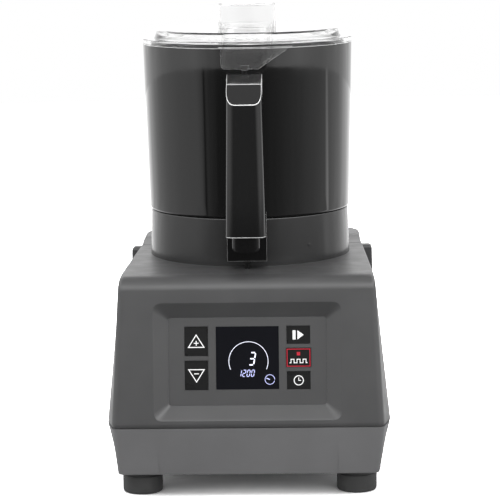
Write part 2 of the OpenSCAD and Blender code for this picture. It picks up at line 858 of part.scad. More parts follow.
module motor_case() place() color([0.5, 0.5, 0.52])
  translate([0, 0, case_low_z]) tube(motor_r, motor_r - case_t, motor_h);

module motor_lower_shield() place() color([0.6, 0.6, 0.62]) {
  translate([0, 0, lower_bearing_z])
    difference() {
      union() {
        translate([0, 0, lower_shield_h - case_t]) cylinder(r = motor_r, h = case_t);
        cylinder(r = shield_boss_r, h = lower_shield_h);
      }
      translate([0, 0, -over])
        cylinder(r = shaft_r + shaft_room, h = lower_shield_h + 2 * over);
      translate([0, 0, -over])
        cylinder(r = bearing_r + seat_gap / 2, h = bearing_h + over);
    }
}

rotor_r = 40;
rotor_h = 66;
rotor_up = 14;
rotor_z = case_low_z + rotor_up;
air_gap = 0.6;
module motor_stator() place() color([0.55, 0.35, 0.2])
  translate([0, 0, rotor_z])
    tube(motor_r - case_t - seat_gap, rotor_r + air_gap, rotor_h);

module bearing() {
  tube(bearing_r, shaft_r + run_gap / 2, bearing_h);
}
module upper_bearing() place() color(steel_colour)
  translate([0, 0, upper_bearing_z]) bearing();
module lower_bearing() place() color(steel_colour)
  translate([0, 0, lower_bearing_z]) bearing();
module shaft_seal() place() color(black_colour)
  translate([0, 0, seal_z]) tube(seal_r, shaft_r + run_gap, seal_h);

// Motor controller on the tray's floor, between the motor and the cable gland
controller_w = 150;
controller_h = 88;
controller_front_share = 0.2;
controller_deep_share = 0.57;
controller_room = pocket_floor_y - pocket_wall - locknut_t - motor_r;
controller_y = motor_r + controller_room * controller_front_share;
controller_d = controller_room * controller_deep_share;
fin_count = 12;
fin_t = 3;
fin_h = 16;
module motor_controller() place() color([0.5, 0.52, 0.55]) {
  translate([-controller_w / 2, controller_y, foot_h + wall])
    cube([controller_w, controller_d, controller_h - fin_h]);
  for (i = [0 : fin_count - 1])
    translate([-controller_w / 2 + i * (controller_w - fin_t) / (fin_count - 1), controller_y,
               foot_h + wall + controller_h - fin_h])
      cube([fin_t, controller_d, fin_h]);
}

// Interlock switch under the deck, pushed by a plunger that the safety rod presses
plunger_r = 2.5;
plunger_up = 6;
plunger_flange_r = 4;
plunger_flange_t = 1.5;
plunger_top_z = deck_z + plunger_up;
rod_travel = 2;
switch_plate_t = 2;
switch_leg_w = 5;
switch_body = [18, 10, 14];
plunger_low_z = deck_z - wall - rod_travel - move_gap - plunger_flange_t;
switch_top_z = plunger_low_z - move_gap;
switch_plate_z = switch_top_z - switch_body[2] - switch_plate_t;

module switch_bracket() place() color(steel_colour)
  translate([0, -rod_reach, switch_plate_z]) {
    leg_x = switch_body[0] / 2 + seat_gap;
    translate([-leg_x - switch_leg_w, -switch_body[1] / 2, 0])
      cube([2 * (leg_x + switch_leg_w), switch_body[1], switch_plate_t]);
    for (x = [-leg_x - switch_leg_w, leg_x])
      translate([x, -switch_body[1] / 2, 0])
        cube([switch_leg_w, switch_body[1], deck_z - wall - switch_plate_z]);
  }

module interlock_switch() place() color(black_colour)
  translate([-switch_body[0] / 2, -rod_reach - switch_body[1] / 2,
             switch_plate_z + switch_plate_t])
    cube(switch_body);

module switch_plunger() place() color(steel_colour)
  translate([0, -rod_reach, plunger_low_z]) {
    cylinder(r = plunger_r, h = plunger_top_z - plunger_low_z);
    cylinder(r = plunger_flange_r, h = plunger_flange_t);
  }

module cable_gland() place() color(black_colour)
  translate([gland_x, pocket_floor_y, gland_z])
    rotate([-90, 0, 0])
      difference() {
        union() {
          cylinder(r = gland_hex_r, h = gland_hex_h, $fn = 6);
          cylinder(r = gland_nut_r, h = gland_hex_h + gland_nut_h);
          translate([0, 0, -gland_thread_l]) cylinder(r = gland_r, h = gland_thread_l);
        }
        translate([0, 0, -gland_thread_l - over])
          cylinder(r = gland_bore_r, h = gland_thread_l + gland_hex_h + gland_nut_h + 2 * over);
      }

module gland_locknut() place() color(steel_colour)
  translate([gland_x, pocket_floor_y - pocket_wall, gland_z])
    rotate([90, 0, 0])
      difference() {
        cylinder(r = locknut_r, h = locknut_t, $fn = 6);
        translate([0, 0, -over]) cylinder(r = gland_r + run_gap, h = locknut_t + 2 * over);
      }

// Rotor, shaft and fan
shaft_down = 22;
shaft_low_z = lower_bearing_z - shaft_down;
module motor_rotor() place() color([0.45, 0.45, 0.48])
  translate([0, 0, rotor_z]) tube(rotor_r, shaft_r + seat_gap / 2, rotor_h);

module drive_shaft() place() color(steel_colour)
  translate([0, 0, shaft_low_z]) cylinder(r = shaft_r, h = shaft_top_z - shaft_low_z);

fan_hub_r = 16;
fan_h = 14;
fan_blades = 8;
fan_blade_t = 2;
fan_plate_t = 2;
fan_up = 2;
module cooling_fan() place() color(black_colour)
  translate([0, 0, shaft_low_z + fan_up]) {
    difference() {
      union() {
        cylinder(r = fan_hub_r, h = fan_h);
        cylinder(r = fan_d / 2, h = fan_plate_t);
        for (i = [0 : fan_blades - 1])
          rotate([0, 0, i * 360 / fan_blades])
            translate([fan_hub_r - over, -fan_blade_t / 2, 0])
              cube([fan_d / 2 - fan_hub_r, fan_blade_t, fan_h]);
      }
      translate([0, 0, -over]) cylinder(r = shaft_r + seat_gap / 2, h = fan_h + 2 * over);
    }
  }

// Bowl: a tapered wall on a base, whose spigot sits in the collar
bowl_z = collar_top_z + move_gap;
bowl_floor_z = bowl_z - spigot_h;
bowl_top_z = bowl_z + bowl_h;
bowl_foot = 3;
spigot_gap = 1.5;
spigot_d = collar_top_d - 2 * (collar_wall + hook_deep + spigot_gap);
chimney_r = 15;
chimney_bore_r = 11;
chimney_top_z = bowl_floor_z + bowl_wall + chimney_h;
lug_angle = 16;
lug_gap = 0.4;
lug_h = 5;
lug_deep = 4;

// Radius of the bowl's outside at a height, above its rounded foot
function bowl_r(z) = mix(bowl_d, bowl_rim_d, (z - bowl_z - bowl_foot) / (bowl_h - bowl_foot)) / 2;

// Wall of the bowl, whose foot turns in to the base
module bowl() place() color(bowl_colour)
  difference() {
    rotate_extrude()
      polygon(concat(
        [[spigot_d / 2 + seat_gap, bowl_z]],
        [for (a = [0 : 15 : 90])
          [bowl_r(bowl_z + bowl_foot) - bowl_foot * (1 - sin(a)),
           bowl_z + bowl_foot * (1 - cos(a))]],
        [[bowl_r(bowl_top_z), bowl_top_z], [bowl_r(bowl_top_z) - bowl_wall, bowl_top_z],
         [bowl_r(bowl_z + bowl_foot) - bowl_wall, bowl_z + bowl_foot + bowl_wall],
         [bowl_r(bowl_z + bowl_foot) - bowl_foot, bowl_z + bowl_wall],
         [spigot_d / 2 + seat_gap, bowl_z + bowl_wall]]));
    rivet_holes();
  }

// Base of the bowl: the spigot in the collar, the floor, the chimney and the locking lugs
module bowl_base() place() color(bowl_colour) {
  rotate_extrude()
    polygon([[chimney_bore_r, bowl_floor_z], [spigot_d / 2, bowl_floor_z],
             [spigot_d / 2, bowl_z + bowl_wall],
             [spigot_d / 2 - bowl_wall, bowl_z + bowl_wall],
             [spigot_d / 2 - bowl_wall, bowl_floor_z + bowl_wall],
             [chimney_r, bowl_floor_z + bowl_wall], [chimney_r, chimney_top_z],
             [chimney_bore_r, chimney_top_z]]);
  for (a = hook_starts)
    translate([0, 0, hook_z - lug_gap - lug_h])
      arc_block(spigot_d / 2 - bowl_wall / 2, spigot_d / 2 + lug_deep, a, lug_angle, lug_h);
}

// Rail and duct for the safety rod, on the front of the bowl
rail_in = 1.6;
duct_out = 6.4;
rail_back = bowl_d / 2 - rail_in;
duct_reach = bowl_d / 2 + duct_out;
rail_drop = 4;
rail_up = 4;
rail_top_z = bowl_top_z - rail_drop;
rail_low_z = bowl_z + bowl_foot + rail_up;
guide_top_z = rail_low_z;
guide_up = 8.5;
guide_low_z = deck_z + guide_up;
guide_w = 40;
guide_gap = 1;
spring_r = 4.6;
spring_inner_r = 3;
spring_h = 22;
spring_collar_r = 4.4;
spring_collar_t = 2;
spring_room = spring_h + spring_collar_t + rod_travel + move_gap;
rod_low_z = plunger_top_z + move_gap;
rivet_r = 2;
rivet_head_r = 3.5;
rivet_head_h = 1.2;
rivet_hole_l = 20;
rivet_x = 12;
rivet_low_up = 22;
rivet_top_down = 26;
rivet_spots = [for (x = [-rivet_x, rivet_x])
  for (z = [rail_low_z + rivet_low_up, rail_top_z - rivet_top_down]) [x, z]];

// Holes for the rivets, through the rail and the wall of the bowl
module rivet_holes() {
  for (p = rivet_spots)
    translate([p.x, -duct_reach - over, p.y])
      rotate([-90, 0, 0])
        cylinder(r = rivet_r + run_gap, h = rivet_hole_l);
}

module bowl_inside_room(grow) {
  rotate_extrude()
    polygon([[0, rail_low_z - over],
             [bowl_r(rail_low_z - over) + grow, rail_low_z - over],
             [bowl_r(bowl_top_z) + grow, bowl_top_z], [0, bowl_top_z]]);
}

module handle_rail() place() color(black_colour) {
  difference() {
    union() {
      translate([-rail_w / 2, -duct_reach, rail_low_z])
        cube([rail_w, duct_reach - rail_back, rail_top_z - rail_low_z]);
      translate([-rail_w / 2, -rail_reach, rail_low_z])
        cube([rail_w, rail_reach - duct_reach + over, handle_top_z - rail_low_z]);
    }
    bowl_inside_room(2 * seat_gap);
    translate([0, -rod_reach, rail_low_z - over])
      cylinder(r = rod_d / 2 + run_gap, h = handle_top_z - rail_low_z + 2 * over);
    translate([0, -rod_reach, rail_low_z - over])
      cylinder(r = spring_r + seat_gap, h = spring_room + over);
    for (x = handle_screw_spots)
      translate([x, -rail_reach - over, handle_screw_z]) {
        rotate([-90, 0, 0])
          cylinder(r = handle_screw_r + drill_gap, h = rail_reach - rail_back + 2 * over);
        translate([0, rail_reach - handle_head_reach + over, 0])
          rotate([-90, 0, 0])
            cylinder(r = handle_head_r + drill_gap, h = rail_reach - rail_back + over);
      }
    rivet_holes();
  }
}

module rail_rivets() place() color(steel_colour)
  for (p = rivet_spots) {
    head_edge = rivet_x + rivet_head_r;
    inside_y = -sqrt(pow(bowl_r(p.y - rivet_head_r) - bowl_wall, 2) - head_edge * head_edge);
    translate([p.x, inside_y + rivet_head_h, p.y])
      rotate([90, 0, 0])
        cylinder(r = rivet_head_r, h = rivet_head_h);
    translate([p.x, inside_y + rivet_head_h, p.y])
      rotate([90, 0, 0])
        cylinder(r = rivet_r, h = duct_reach + inside_y + rivet_head_h);
  }

module rod_guide() place() color(black_colour)
  difference() {
    translate([-guide_w / 2, -rail_reach, guide_low_z])
      cube([guide_w, rail_reach - rail_back, guide_top_z - guide_low_z]);
    translate([0, 0, guide_low_z - over])
      cylinder(r = collar_d / 2 + guide_gap, h = guide_top_z - guide_low_z + 2 * over);
    translate([0, -rod_reach, guide_low_z - over])
      cylinder(r = rod_d / 2 + run_gap, h = guide_top_z - guide_low_z + 2 * over);
  }

// Grip: its plan at a height is a box with bent front edges
grip_back = grip_reach - grip_t;
grip_wall = 2.5;
grip_edge = 0.5;
grip_bend_f = 9;
grip_bend_r = 5;
facet_low_drop = 27.3;
facet_top_drop = 8;
facet_low_z = handle_top_z - facet_low_drop;
facet_top_z = handle_top_z - facet_top_drop;
facet_deep = 18;
facet_low_in = 4;
grip_room_drop = 8;
grip_room_top = facet_low_z - grip_room_drop;
bridge_drop = 34;
bridge_low_z = handle_top_z - bridge_drop;
bridge_haunch = 6;
bridge_in = 18;
bridge_lap = 12;
function grip_half(z) =
  mix(grip_bottom_w, grip_top_w, (z - grip_bottom_z) / (facet_top_z - grip_bottom_z)) / 2;
function grip_front(z) =
  -mix(grip_reach, grip_reach - facet_low_in, (z - grip_bottom_z) / (facet_low_z - grip_bottom_z));
function grip_rear(z) = z < bridge_low_z ? -grip_back : -grip_back + bridge_in;
function grip_ring(z, draw) =
  box_ring(grip_half(z) - draw, grip_front(z) + draw, grip_rear(z) - draw,
           grip_bend_f - draw, grip_bend_r - draw, z);

// Outline drawn from the side, as [distance from the axis, height], made w wide
module side_slab(w, pts) {
  rotate([90, 0, -90]) linear_extrude(height = w, center = true) polygon(pts);
}

handle_screw_r = 2;
handle_head_r = 3.6;
handle_head_h = 3;
handle_head_out = 6;
handle_screw_out = 14;
handle_screw_drop = 16;
handle_head_reach = duct_reach + handle_head_out;
handle_screw_reach = rail_reach + handle_screw_out;
handle_screw_z = handle_top_z - handle_screw_drop;
handle_screw_x = 10.5;
handle_screw_spots = [-handle_screw_x, handle_screw_x];
pin_r = 1.6;
pin_out = 6;
pin_drop = 22;
pin_sunk = 1;
pin_reach = grip_back + pin_out;
pin_z = handle_top_z - pin_drop;
pin_proud = 0.9;

module handle_front_shell() place() color(black_colour) {
  difference() {
    union() {
      loft([grip_ring(grip_bottom_z, grip_edge),
            grip_ring(grip_bottom_z + grip_edge, 0),
            grip_ring(mix(grip_bottom_z, facet_low_z, 1 / 2), 0),
            grip_ring(bridge_low_z - bridge_haunch, 0),
            grip_ring(bridge_low_z, 0),
            grip_ring(handle_top_z, 0)]);
      side_slab(grip_top_w + grip_edge,
        [[rail_reach, bridge_low_z], [rail_reach, handle_top_z],
         [rail_reach + bridge_lap, handle_top_z],
         [rail_reach + bridge_lap, bridge_low_z]]);
    }
    side_slab(2 * grip_bottom_w,
      [[rail_reach, handle_top_z], [grip_reach - facet_deep, facet_top_z],
       [grip_reach - facet_low_in, facet_low_z],
       [grip_reach, facet_low_z - facet_low_in * (facet_top_z - facet_low_z)
                    / (facet_deep - facet_low_in)],
       [grip_reach, handle_top_z + over], [rail_reach, handle_top_z + over]]);
    loft([grip_ring(grip_bottom_z - over, grip_wall),
          grip_ring(grip_room_top, grip_wall)]);
    for (x = handle_screw_spots)
      translate([x, -rail_reach + over, handle_screw_z])
        rotate([90, 0, 0])
          cylinder(r = handle_screw_r + run_gap,
                   h = handle_screw_reach - rail_reach + 2 * over);
    translate([-grip_bottom_w, -pin_reach, pin_z])
      rotate([0, 90, 0]) cylinder(r = pin_r + run_gap, h = 2 * grip_bottom_w);
  }
}

tongue_bend = 4;
module handle_back_shell() place() color(black_colour) {
  low = grip_bottom_z - tongue_h;
  y0 = -grip_reach + facet_low_in + grip_wall + seat_gap;
  y1 = -grip_back - grip_wall - seat_gap;
  bend_f = grip_bend_f - grip_wall;
  loft(concat(
    [for (a = [0 : 15 : 90])
      box_ring(tongue_w / 2 - tongue_bend * (1 - sin(a)), y0, y1, bend_f, grip_wall / 2,
               low + tongue_bend * (1 - cos(a)))],
    [box_ring(tongue_w / 2, y0, y1, bend_f, grip_wall / 2, grip_room_top - seat_gap)]));
}

module handle_screws() place() color(steel_colour)
  for (x = handle_screw_spots)
    translate([x, -handle_head_reach + handle_head_h, handle_screw_z])
      rotate([90, 0, 0])
        screw_up(handle_screw_r, handle_screw_reach - handle_head_reach,
                 handle_head_r, handle_head_h);

module handle_pin() place() color(steel_colour)
  translate([-grip_half(pin_z) + pin_sunk, -pin_reach, pin_z])
    rotate([0, 90, 0])
      cylinder(r = pin_r, h = 2 * grip_half(pin_z) - pin_sunk + pin_proud);

module interlock_rod() place() color(steel_colour)
  translate([0, -rod_reach, 0]) {
    translate([0, 0, rod_low_z]) cylinder(r = rod_d / 2, h = rod_top_z - rod_low_z);
    translate([0, 0, rail_low_z + spring_h])
      cylinder(r = spring_collar_r, h = spring_collar_t);
  }

// Spring round the rod, as a sleeve of its outer and inner diameter
module rod_spring() place() color(steel_colour)
  translate([0, -rod_reach, rail_low_z]) tube(spring_r, spring_inner_r, spring_h);

// Lid: a flange on the rim, a raised middle, a filler neck, and a lock tab in front
lid_z = bowl_top_z + move_gap;
lid_flange_top = lid_z + lid_flange_h;
lid_top_z = lid_flange_top + lid_dome_h;
lid_edge = 1.5;
dome_slope = 2;
dome_edge = 2.5;
neck_r = 27;
neck_wall = 2.5;
neck_up = 5;
neck_down = 14;
lid_spigot_h = 8;
seal_t = 2.8;
seal_room = 0.4;
seal_band_h = 4;
seal_drop = 1;
lid_spigot_r = bowl_rim_d / 2 - bowl_wall - seal_room - seal_t;
tab_gap = 2.5;
tab_r = duct_reach + tab_gap;
tab_t = 4;
tab_left = 24;
tab_right = 14;
tab_ramp = 48;
tab_shelf_left = 26;
tab_shelf_right = 24.5;
tab_shelf_t = 3;
tab_shelf_h = 4.4;
tab_bend = 5;
tab_root = 2;
tab_shelf_edge = 1;
nub_over = 1;
nub_half = 3;
nub_h = 1.1;
nub_low_z = lid_flange_top - tab_drop - nub_h;
tab_low_z = lid_flange_top - tab_drop;
rod_top_z = nub_low_z - move_gap;

// Solid outline seen from the front, as [x, z], cut out of a ring round the axis
module front_cut(r_in, r_out, pts) {
  intersection() {
    translate([0, 0, nub_low_z - over])
      tube(r_out, r_in, lid_flange_top - nub_low_z + 2 * over);
    rotate([90, 0, 0]) linear_extrude(height = 2 * r_out) polygon(pts);
  }
}

module lid_tab() {
  shelf_low = lid_flange_top - tab_shelf_h;
  front_cut(lid_d / 2 - tab_root, tab_r + tab_t,
    [[-tab_shelf_left, shelf_low], [tab_ramp, shelf_low],
     [tab_ramp, lid_flange_top], [-tab_shelf_left, lid_flange_top]]);
  front_cut(tab_r, tab_r + tab_t,
    concat(
      [for (a = [0 : 15 : 90])
        [-tab_left + tab_bend * (1 - cos(a)), tab_low_z + tab_bend * (1 - sin(a))]],
      [[tab_right, tab_low_z], [tab_ramp, shelf_low + over], [tab_ramp, lid_flange_top],
       [-tab_left, lid_flange_top]]));
  e = tab_shelf_edge;
  front_cut(tab_r + tab_t - e, tab_r + tab_t + tab_shelf_t,
    [[-tab_shelf_left + e, shelf_low], [tab_shelf_right - e, shelf_low],
     [tab_shelf_right, shelf_low + e], [tab_shelf_right, lid_flange_top - e],
     [tab_shelf_right - e, lid_flange_top], [-tab_shelf_left + e, lid_flange_top],
     [-tab_shelf_left, lid_flange_top - e], [-tab_shelf_left, shelf_low + e]]);
  front_cut(tab_r, rod_reach + rod_d / 2 + nub_over,
    [[-nub_half, nub_low_z], [nub_half, nub_low_z], [nub_half + nub_h, tab_low_z + tab_t],
     [-nub_half - nub_h, tab_low_z + tab_t]]);
}

module lid() place() color(clear_colour) {
  dome_r = lid_dome_d / 2;
  low_top = lid_top_z - lid_wall;
  rotate_extrude()
    polygon(concat(
      [[lid_spigot_r, lid_z], [lid_d / 2, lid_z]],
      [for (a = [0 : 15 : 90])
        [lid_d / 2 - lid_edge * (1 - cos(a)), lid_flange_top - lid_edge * (1 - sin(a))]],
      [[dome_r + lid_edge, lid_flange_top], [dome_r, lid_flange_top + lid_edge]],
      [for (a = [0 : 15 : 90])
        [dome_r - dome_slope - dome_edge * (1 - cos(a)), lid_top_z - dome_edge * (1 - sin(a))]],
      [[neck_r, lid_top_z], [neck_r, lid_top_z + neck_up],
       [neck_r - neck_wall, lid_top_z + neck_up], [neck_r - neck_wall, lid_top_z - neck_down],
       [neck_r, lid_top_z - neck_down], [neck_r, low_top],
       [dome_r - dome_slope - dome_edge - lid_wall, low_top],
       [dome_r - dome_slope - lid_wall, low_top - dome_edge],
       [lid_spigot_r - lid_wall, lid_flange_top - lid_wall],
       [lid_spigot_r - lid_wall, lid_z - lid_spigot_h],
       [lid_spigot_r, lid_z - lid_spigot_h]]));
  lid_tab();
}

module lid_seal() place() color([0.75, 0.76, 0.78])
  translate([0, 0, lid_z - seal_band_h - seal_drop])
    tube(lid_spigot_r + seat_gap / 2 + seal_t, lid_spigot_r + seat_gap / 2, seal_band_h);

cap_wall = 2;
cap_edge = 1.5;
cap_foot_t = 2;
cap_foot_h = 6;
cap_foot_angle = 8;
cap_foot_proud = 0.5;
module filler_cap() place() color(clear_colour) {
  r = cap_d / 2;
  translate([0, 0, lid_top_z + seat_gap]) {
    rotate_extrude()
      polygon(concat(
        [[r - cap_wall, 0], [r, 0]],
        [for (a = [0 : 15 : 90]) [r - cap_edge * (1 - cos(a)), cap_h - cap_edge * (1 - sin(a))]],
        [[0, cap_h], [0, cap_h - cap_wall], [r - cap_wall, cap_h - cap_wall]]));
    for (a = [0, 180])
      arc_block(r - cap_wall - cap_foot_t / 2, r + cap_foot_proud, a - cap_foot_angle / 2,
                cap_foot_angle, cap_foot_h);
  }
}

// Knife stack on the hub: flange, lower knife, spacer, upper knife and nut
hub_r = hub_d / 2;
hub_gap = 1.5;
hub_low_z = bowl_floor_z + bowl_wall + hub_gap;
hub_flange_out = 5;
hub_flange_r = hub_r + hub_flange_out;
hub_flange_h = 4;
hub_room_gap = 0.8;
hub_room_r = chimney_r + hub_room_gap;
hub_room_top = chimney_top_z + hub_gap;
hub_top_wall = 10;
hub_top_z = hub_room_top + hub_top_wall;
hub_skin = 2;
shaft_top_z = hub_top_z - hub_skin;
knife_gap = 38;
low_knife_z = hub_low_z + hub_flange_h;
top_knife_z = low_knife_z + knife_t + knife_gap;
nut_h = 8;
sleeve_t = 4;
lower_knife_room = 3;
lower_sweep_d = spigot_d - 2 * (bowl_wall + lower_knife_room);
knife_sweep_d = bowl_d - 2 * (bowl_wall + knife_room);
knife_steps = 14;
knife_swing_angle = 62;
knife_tip_w = 5;

module blade_hub() place() color(steel_colour) {
  difference() {
    union() {
      translate([0, 0, hub_low_z]) cylinder(r = hub_r, h = hub_top_z - hub_low_z);
      translate([0, 0, hub_low_z]) cylinder(r = hub_flange_r, h = hub_flange_h);
    }
    translate([0, 0, hub_low_z - over]) cylinder(r = hub_room_r, h = hub_room_top - hub_low_z + over);
    translate([0, 0, hub_room_top - over])
      cylinder(r = shaft_r + run_gap, h = shaft_top_z + seat_gap - hub_room_top + over);
  }
}

// Knife of two curved arms that swing back towards their tips
function knife_angle(u) = -knife_swing_angle * pow(u, 1.5);
function knife_edge_pt(u, r_tip, back) =
  let(r = mix(hub_r, r_tip, u),
      w = mix(knife_w, knife_tip_w, u),
      a = knife_angle(u) + back * w / r * 90 / PI)
  [r * cos(a), r * sin(a)];

module knife(r_tip) {
  linear_extrude(height = knife_t)
    difference() {
      union() {
        circle(r = hub_r + seat_gap + sleeve_t);
        for (turn = [0, 180])
          rotate(turn)
            polygon(concat(
              [for (i = [0 : knife_steps]) knife_edge_pt(i / knife_steps, r_tip, -1)],
              [for (i = [knife_steps : -1 : 0]) knife_edge_pt(i / knife_steps, r_tip, 1)]));
      }
      circle(r = hub_r + seat_gap / 2);
    }
}

module lower_blade() place() color(steel_colour)
  translate([0, 0, low_knife_z]) knife(lower_sweep_d / 2);
module upper_blade() place() color(steel_colour)
  translate([0, 0, top_knife_z]) rotate([0, 0, 90]) knife(knife_sweep_d / 2);
module knife_spacer() place() color(steel_colour)
  translate([0, 0, low_knife_z + knife_t])
    tube(hub_r + seat_gap / 2 + sleeve_t, hub_r + seat_gap / 2, knife_gap);
module knife_nut() place() color(steel_colour)
  translate([0, 0, top_knife_z + knife_t])
    tube(hub_r + seat_gap / 2 + sleeve_t, hub_r + seat_gap / 2, nut_h);

knob_r = 17;
knob_h = 16;
knob_edge = 5;
knob_foot_in = 3;
knob_waist_in = 4;
knob_rise = 1;
module hub_cap() place() color(black_colour)
  translate([0, 0, hub_top_z])
    rotate_extrude()
      polygon(concat(
        [[0, 0], [knob_r - knob_foot_in, 0], [knob_r - knob_waist_in, knob_h / 2],
         [knob_r, knob_h - knob_edge - knob_rise]],
        [for (a = [0 : 15 : 90])
          [knob_r - knob_edge * (1 - cos(a)), knob_h - knob_edge * (1 - sin(a))]],
        [[0, knob_h]]));

upper_housing();
base_tray();
foot_front_left();
foot_front_right();
foot_rear_left();
foot_rear_right();
foot_screws();
housing_screws();
keypad_panel();
display_window();
display_module();
control_board();
key_switches();
board_screws();
collar_ring();
collar_bolts();
motor_upper_shield();
motor_case();
motor_lower_shield();
motor_stator();
upper_bearing();
lower_bearing();
shaft_seal();
motor_controller();
switch_bracket();
interlock_switch();
cable_gland();
gland_locknut();
motor_rotor();
drive_shaft();
cooling_fan();
blade_hub();
lower_blade();
upper_blade();
knife_spacer();
knife_nut();
hub_cap();
bowl();
bowl_base();
handle_rail();
rail_rivets();
rod_guide();
handle_front_shell();
handle_back_shell();
handle_screws();
handle_pin();
interlock_rod();
rod_spring();
switch_plunger();
lid();
lid_seal();
filler_cap();
key_speed_up();
key_speed_down();
key_start();
key_stop();
key_timer();
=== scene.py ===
import json
import math

import bmesh
import bpy
from mathutils import Matrix, Vector


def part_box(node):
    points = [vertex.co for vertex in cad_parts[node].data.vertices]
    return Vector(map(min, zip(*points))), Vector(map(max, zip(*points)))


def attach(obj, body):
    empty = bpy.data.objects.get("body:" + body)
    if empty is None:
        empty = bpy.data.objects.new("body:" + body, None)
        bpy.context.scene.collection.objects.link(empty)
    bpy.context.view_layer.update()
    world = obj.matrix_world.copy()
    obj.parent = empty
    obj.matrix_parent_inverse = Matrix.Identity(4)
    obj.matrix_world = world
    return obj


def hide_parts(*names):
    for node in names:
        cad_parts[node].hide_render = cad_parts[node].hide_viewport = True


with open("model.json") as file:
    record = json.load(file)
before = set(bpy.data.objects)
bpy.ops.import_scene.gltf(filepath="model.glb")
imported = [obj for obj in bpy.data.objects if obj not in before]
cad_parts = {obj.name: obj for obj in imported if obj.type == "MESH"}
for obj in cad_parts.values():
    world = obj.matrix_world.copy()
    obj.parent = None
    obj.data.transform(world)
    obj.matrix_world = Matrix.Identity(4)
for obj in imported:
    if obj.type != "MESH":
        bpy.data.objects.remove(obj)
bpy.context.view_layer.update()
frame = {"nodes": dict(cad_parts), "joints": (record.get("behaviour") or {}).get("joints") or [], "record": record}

# A vertical cutter mixer: the CAD solids are merged and smoothed, get their plastics, rubber
# and metals, and are joined by the display's figures, the signs on the keys and small marks.
# Metres, +Z up, front towards -Y.

MM = 0.001
record = frame["record"]
nodes = frame["nodes"]
body_of = {n: b for b, members in record["behaviour"]["bodies"].items() for n in members}
slot_of = {s["node"]: s["material_slot"] for s in record["subparts"]}

# The panel's frame on the leaning face
press_axis = next(j["axis"] for j in frame["joints"] if j["name"] == "key_start_press")
panel_in = Vector(press_axis)
panel_up = Vector((0, -panel_in.z, panel_in.y))


# Materials

def colour(grey, tint=(1, 1, 1)):
    """Opaque colour of a grey, tinted."""
    return (grey * tint[0], grey * tint[1], grey * tint[2], 1)


class Finish:
    """A material under construction: its shader, and the patterns that feed it."""

    def __init__(self, name, roughness, metallic=0.0, ior=1.5):
        self.material = bpy.data.materials.new(name)
        self.material.use_nodes = True
        self.tree = self.material.node_tree
        self.shader = self.tree.nodes["Principled BSDF"]
        self.shader.inputs["Roughness"].default_value = roughness
        self.shader.inputs["Metallic"].default_value = metallic
        self.shader.inputs["IOR"].default_value = ior
        self.roughness = roughness
        self.normal = None

    def node(self, kind, **values):
        made = self.tree.nodes.new(kind)
        for key, value in values.items():
            if key in made.inputs:
                made.inputs[key].default_value = value
            else:
                setattr(made, key, value)
        return made

    def link(self, a, b):
        self.tree.links.new(a, b)

    def place(self, stretch=(1, 1, 1), at=(0, 0, 0)):
        coord = self.node("ShaderNodeTexCoord")
        mapping = self.node("ShaderNodeMapping", Scale=stretch, Location=at)
        self.link(coord.outputs["Object"], mapping.inputs["Vector"])
        return mapping.outputs["Vector"]

    def noise(self, size, stretch=(1, 1, 1), detail=3.0):
        """Noise whose features are about that size in metres."""
        made = self.node("ShaderNodeTexNoise", Scale=1 / size, Detail=detail)
        self.link(self.place(stretch), made.inputs["Vector"])
        return made.outputs["Fac"]

    def spread(self, value, low, high, to_low, to_high):
        made = self.node("ShaderNodeMapRange")
        for key, number in (("From Min", low), ("From Max", high),
                            ("To Min", to_low), ("To Max", to_high)):
            made.inputs[key].default_value = number
        self.link(value, made.inputs["Value"])
        return made.outputs["Result"]

    def blend(self, value, first, second):
        made = self.node("ShaderNodeMix", data_type="RGBA")
        made.inputs["A"].default_value = first
        made.inputs["B"].default_value = second
        self.link(value, made.inputs["Factor"])
        return made.outputs["Result"]

    def paint(self, size, first, second, stretch=(1, 1, 1), low=0.35, high=0.65):
        """Base colour that wanders between two colours."""
        fac = self.spread(self.noise(size, stretch), low, high, 0, 1)
        self.link(self.blend(fac, first, second), self.shader.inputs["Base Color"])

    def polish(self, size, low, high, stretch=(1, 1, 1)):
        """Roughness that wanders between two values."""
        fac = self.spread(self.noise(size, stretch, 4.0), 0.3, 0.7, low, high)
        self.link(fac, self.shader.inputs["Roughness"])

    def relief(self, size, depth, stretch=(1, 1, 1), detail=2.0, strength=1.0):
        """Bump of a feature size and depth in metres, over any bump before it."""
        bump = self.node("ShaderNodeBump", Distance=depth, Strength=strength)
        self.link(self.noise(size, stretch, detail), bump.inputs["Height"])
        if self.normal:
            self.link(self.normal, bump.inputs["Normal"])
        self.normal = bump.outputs["Normal"]
        self.link(self.normal, self.shader.inputs["Normal"])


def moulded(name, grey, roughness, grain=0.0007, depth=0.00003, tint=(1, 1, 1.02), ior=1.5,
            wander=0.05):
    """Moulded plastic: fine even grain and slightly uneven gloss."""
    f = Finish(name, roughness, ior=ior)
    f.paint(0.05, colour(grey * 0.95, tint), colour(grey * 1.05, tint))
    f.polish(0.02, roughness - wander, roughness + wander)
    f.relief(grain, depth)
    return f.material


def rubber(name, grey, roughness=0.7):
    """Rubber: dull, and a little uneven in colour, gloss and surface."""
    f = Finish(name, roughness, ior=1.45)
    f.paint(0.012, colour(grey * 0.85), colour(grey * 1.15))
    f.polish(0.006, roughness - 0.1, roughness + 0.1)
    f.relief(0.0012, 0.00008)
    return f.material


def turned_steel(name, grey, roughness, stretch=(1, 1, 14)):
    """Steel with fine lines from turning or grinding."""
    f = Finish(name, roughness, metallic=1.0)
    f.paint(0.01, colour(grey * 0.9), colour(grey))
    f.polish(0.0015, roughness - 0.08, roughness + 0.1, stretch)
    f.relief(0.0006, 0.00002, stretch)
    return f.material


